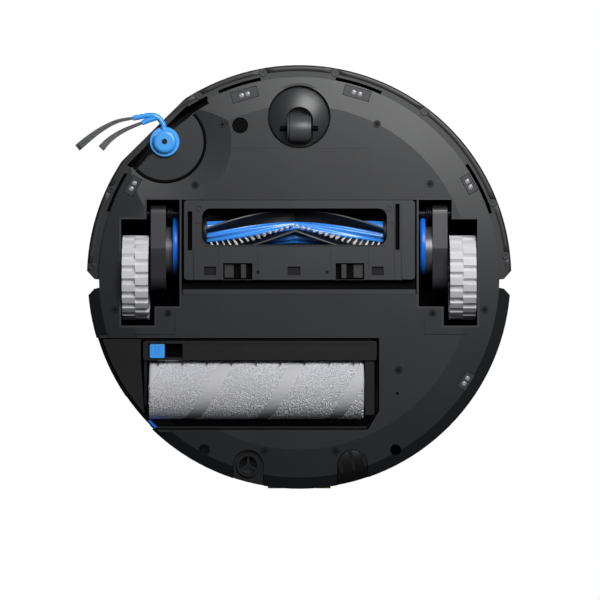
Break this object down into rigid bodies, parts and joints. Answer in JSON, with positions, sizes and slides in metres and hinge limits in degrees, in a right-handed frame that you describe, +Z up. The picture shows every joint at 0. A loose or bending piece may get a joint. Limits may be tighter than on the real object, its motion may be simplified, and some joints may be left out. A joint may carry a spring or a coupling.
{
  "type": "robot vacuum",
  "caption": "Round robot vacuum and mop with sprung drive wheels, swivel caster, side brush, main brush under a latched guard, roller mop, bumper and low turret.",
  "frame": {"origin": "on the floor, under the centre of the round body", "axes": "+Z up, -Y is the front with the caster and bumper, +X is the robot's own left side"},
  "size_m": [0.3606, 0.3502, 0.098],
  "materials": {
    "shell_dark": "fine satin grain",
    "trim_black": "matte moulded",
    "inner_black": "matte moulded",
    "blue_plastic": "semi-gloss",
    "grey_plastic": "satin",
    "tread_grey": "matte rubber",
    "steel": "brushed",
    "dark_steel": "blackened",
    "motor_case": "zinc plated",
    "brush_hair": "nylon bristle",
    "white_hair": "nylon bristle",
    "blade_rubber": "matte rubber",
    "mop_fabric": "microfibre pile",
    "window_gloss": "polished",
    "contact_metal": "polished",
    "cell_wrap": "shrink wrap",
    "board_green": "solder mask",
    "filter_white": "pleated paper",
    "bin_smoke": "polished",
    "tank_clear": "polished",
    "tank_smoke": "polished"
  },
  "bodies": {
    "chassis": {"lower_chassis": "shell_dark", "upper_housing": "shell_dark", "bumper_switches": "inner_black", "side_brush_plate": "trim_black", "side_brush_motor": "inner_black", "brush_housing": "inner_black", "brush_guard": "trim_black", "brush_motor": "motor_case", "wheel_frame_right": "inner_black", "wheel_frame_left": "inner_black", "pivot_pins": "steel", "suspension_springs": "steel", "floor_sensors": "window_gloss", "drain_port": "trim_black", "rear_plug": "shell_dark", "charging_contacts": "contact_metal", "chassis_screws": "dark_steel", "battery_pack": "cell_wrap", "main_board": "board_green", "vacuum_fan": "inner_black", "clean_water_tank": "tank_clear", "waste_water_tank": "tank_smoke"},
    "bumper": {"bumper_shell": "shell_dark", "bumper_inner_ring": "shell_dark", "bumper_window": "window_gloss"},
    "caster_fork": {"caster_swivel": "trim_black", "caster_axle": "dark_steel"},
    "caster_roller": {"caster_wheel": "trim_black"},
    "side_brush": {"side_brush_hub": "blue_plastic", "side_brush_bristles": "brush_hair", "side_brush_screw": "dark_steel"},
    "latch_right": {"guard_latch_right": "grey_plastic"},
    "latch_left": {"guard_latch_left": "grey_plastic"},
    "main_brush": {"brush_core": "blue_plastic", "brush_blades": "blade_rubber", "brush_bristles": "white_hair", "brush_end_caps": "inner_black"},
    "arm_right": {"swing_arm_right": "trim_black", "wheel_motor_right": "motor_case", "motor_cover_right": "blue_plastic"},
    "arm_left": {"swing_arm_left": "trim_black", "wheel_motor_left": "motor_case", "motor_cover_left": "blue_plastic"},
    "wheel_right": {"wheel_hub_right": "inner_black", "tyre_right": "tread_grey"},
    "wheel_left": {"wheel_hub_left": "inner_black", "tyre_left": "tread_grey"},
    "mop_slide": {"mop_carriage": "inner_black", "mop_side_accent": "blue_plastic"},
    "mop_lifter": {"mop_cradle": "trim_black", "mop_motor": "motor_case"},
    "mop_key": {"mop_release_button": "blue_plastic"},
    "mop_roller": {"mop_roller_core": "inner_black", "mop_roller_sleeve": "mop_fabric"},
    "cover": {"top_cover": "shell_dark"},
    "bin": {"dust_bin": "bin_smoke", "dust_filter": "filter_white"},
    "power_key": {"power_button": "window_gloss"},
    "lidar_spinner": {"lidar_rotor": "inner_black"},
    "turret_cap": {"lidar_cap": "shell_dark"}
  },
  "joints": [
    {"name": "bumper_press", "type": "slide", "parent": "chassis", "child": "bumper", "axis": [0, 1, 0], "range_m": [0, 0.004], "stiffness_N_per_m": 400, "springref_m": -0.002},
    {"name": "caster_swivel_turn", "type": "hinge", "parent": "chassis", "child": "caster_fork", "pos_m": [0, -0.1323, 0.01175], "axis": [0, 0, 1], "continuous": true},
    {"name": "caster_roll", "type": "hinge", "parent": "caster_fork", "child": "caster_roller", "pos_m": [0, -0.1227, 0.01175], "axis": [1, 0, 0], "continuous": true},
    {"name": "side_brush_spin", "type": "hinge", "parent": "chassis", "child": "side_brush", "pos_m": [-0.1108, -0.1118, 0.007], "axis": [0, 0, 1], "continuous": true},
    {"name": "latch_right_slide", "type": "slide", "parent": "chassis", "child": "latch_right", "axis": [1, 0, 0], "range_m": [0, 0.004], "stiffness_N_per_m": 300, "springref_m": -0.002},
    {"name": "latch_left_slide", "type": "slide", "parent": "chassis", "child": "latch_left", "axis": [-1, 0, 0], "range_m": [0, 0.004], "stiffness_N_per_m": 300, "springref_m": -0.002},
    {"name": "main_brush_spin", "type": "hinge", "parent": "chassis", "child": "main_brush", "pos_m": [0, -0.037, 0.0245], "axis": [1, 0, 0], "continuous": true},
    {"name": "wheel_arm_right", "type": "hinge", "parent": "chassis", "child": "arm_right", "pos_m": [-0.1165, -0.053, 0.028], "axis": [-1, 0, 0], "range_deg": [0, 22], "stiffness_Nm_per_rad": 0.45, "springref_deg": 48.7},
    {"name": "wheel_arm_left", "type": "hinge", "parent": "chassis", "child": "arm_left", "pos_m": [0.1165, -0.053, 0.028], "axis": [-1, 0, 0], "range_deg": [0, 22], "stiffness_Nm_per_rad": 0.45, "springref_deg": 48.7},
    {"name": "wheel_spin_right", "type": "hinge", "parent": "arm_right", "child": "wheel_right", "pos_m": [-0.1352, 0, 0.035], "axis": [1, 0, 0], "continuous": true},
    {"name": "wheel_spin_left", "type": "hinge", "parent": "arm_left", "child": "wheel_left", "pos_m": [0.1352, 0, 0.035], "axis": [1, 0, 0], "continuous": true},
    {"name": "mop_extend", "type": "slide", "parent": "chassis", "child": "mop_slide", "axis": [-1, 0, 0], "range_m": [0, 0.01]},
    {"name": "mop_lift", "type": "slide", "parent": "mop_slide", "child": "mop_lifter", "axis": [0, 0, 1], "range_m": [0, 0.006]},
    {"name": "mop_roller_spin", "type": "hinge", "parent": "mop_lifter", "child": "mop_roller", "pos_m": [0, 0.0925, 0.026], "axis": [1, 0, 0], "continuous": true},
    {"name": "mop_release_slide", "type": "slide", "parent": "mop_lifter", "child": "mop_key", "axis": [1, 0, 0], "range_m": [0, 0.01], "stiffness_N_per_m": 120, "springref_m": -0.003},
    {"name": "top_cover_lift", "type": "slide", "parent": "chassis", "child": "cover", "axis": [0, 0, 1], "range_m": [0, 0.12]},
    {"name": "dust_bin_lift", "type": "slide", "parent": "chassis", "child": "bin", "axis": [0, 0, 1], "range_m": [0, 0.06]},
    {"name": "power_button_press", "type": "slide", "parent": "chassis", "child": "power_key", "axis": [0, 0, -1], "range_m": [0, 0.001], "stiffness_N_per_m": 600, "springref_m": -0.001},
    {"name": "lidar_spin", "type": "hinge", "parent": "chassis", "child": "lidar_spinner", "pos_m": [0, 0.07, 0.086], "axis": [0, 0, 1], "continuous": true},
    {"name": "lidar_cap_press", "type": "slide", "parent": "chassis", "child": "turret_cap", "axis": [0, 0, -1], "range_m": [0, 0.0015], "stiffness_N_per_m": 900, "springref_m": -0.0015}
  ],
  "couplings": [
    {"joint": "dust_bin_lift", "follows": "top_cover_lift", "ratio": 0.5}
  ]
}
